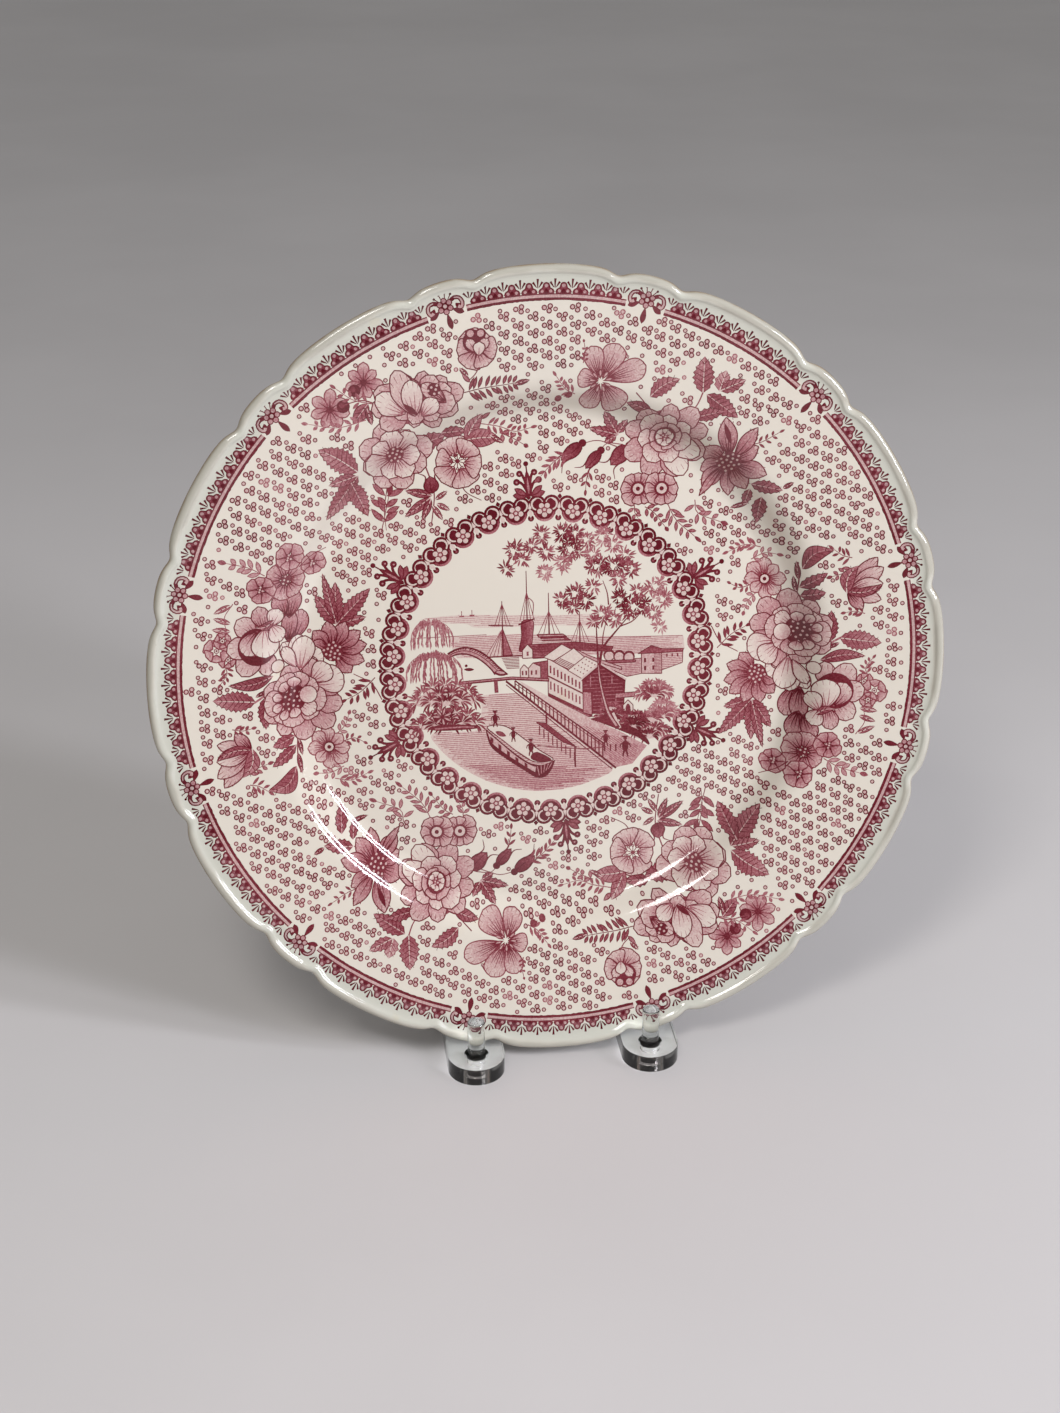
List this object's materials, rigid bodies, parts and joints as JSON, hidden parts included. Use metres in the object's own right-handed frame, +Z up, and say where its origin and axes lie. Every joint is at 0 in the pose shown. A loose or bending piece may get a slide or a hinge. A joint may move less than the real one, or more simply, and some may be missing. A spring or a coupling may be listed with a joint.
{
  "type": "dinner plate",
  "caption": "Scalloped, transfer-printed china dinner plate resting against a bent clear acrylic display stand with stop pegs and cross rods.",
  "frame": {"origin": "on the table, under the middle of the whole object", "axes": "+X to the right as seen from the front, +Y towards the back of the stand, +Z up; the plate faces -Y and leans back 12 degrees"},
  "size_m": [0.2598, 0.1506, 0.2578],
  "materials": {
    "glazed_earthenware": "gloss",
    "clear_acrylic": "gloss"
  },
  "bodies": {
    "stand": {"left_arm": "clear_acrylic", "right_arm": "clear_acrylic", "left_peg": "clear_acrylic", "right_peg": "clear_acrylic", "upper_cross_rod": "clear_acrylic", "rear_cross_rod": "clear_acrylic"},
    "plate": {"plate": "glazed_earthenware"}
  },
  "joints": [
    {"name": "plate_lift", "type": "slide", "parent": "stand", "child": "plate", "axis": [0, 0.2079, 0.9781], "range_m": [0, 0.16]}
  ]
}
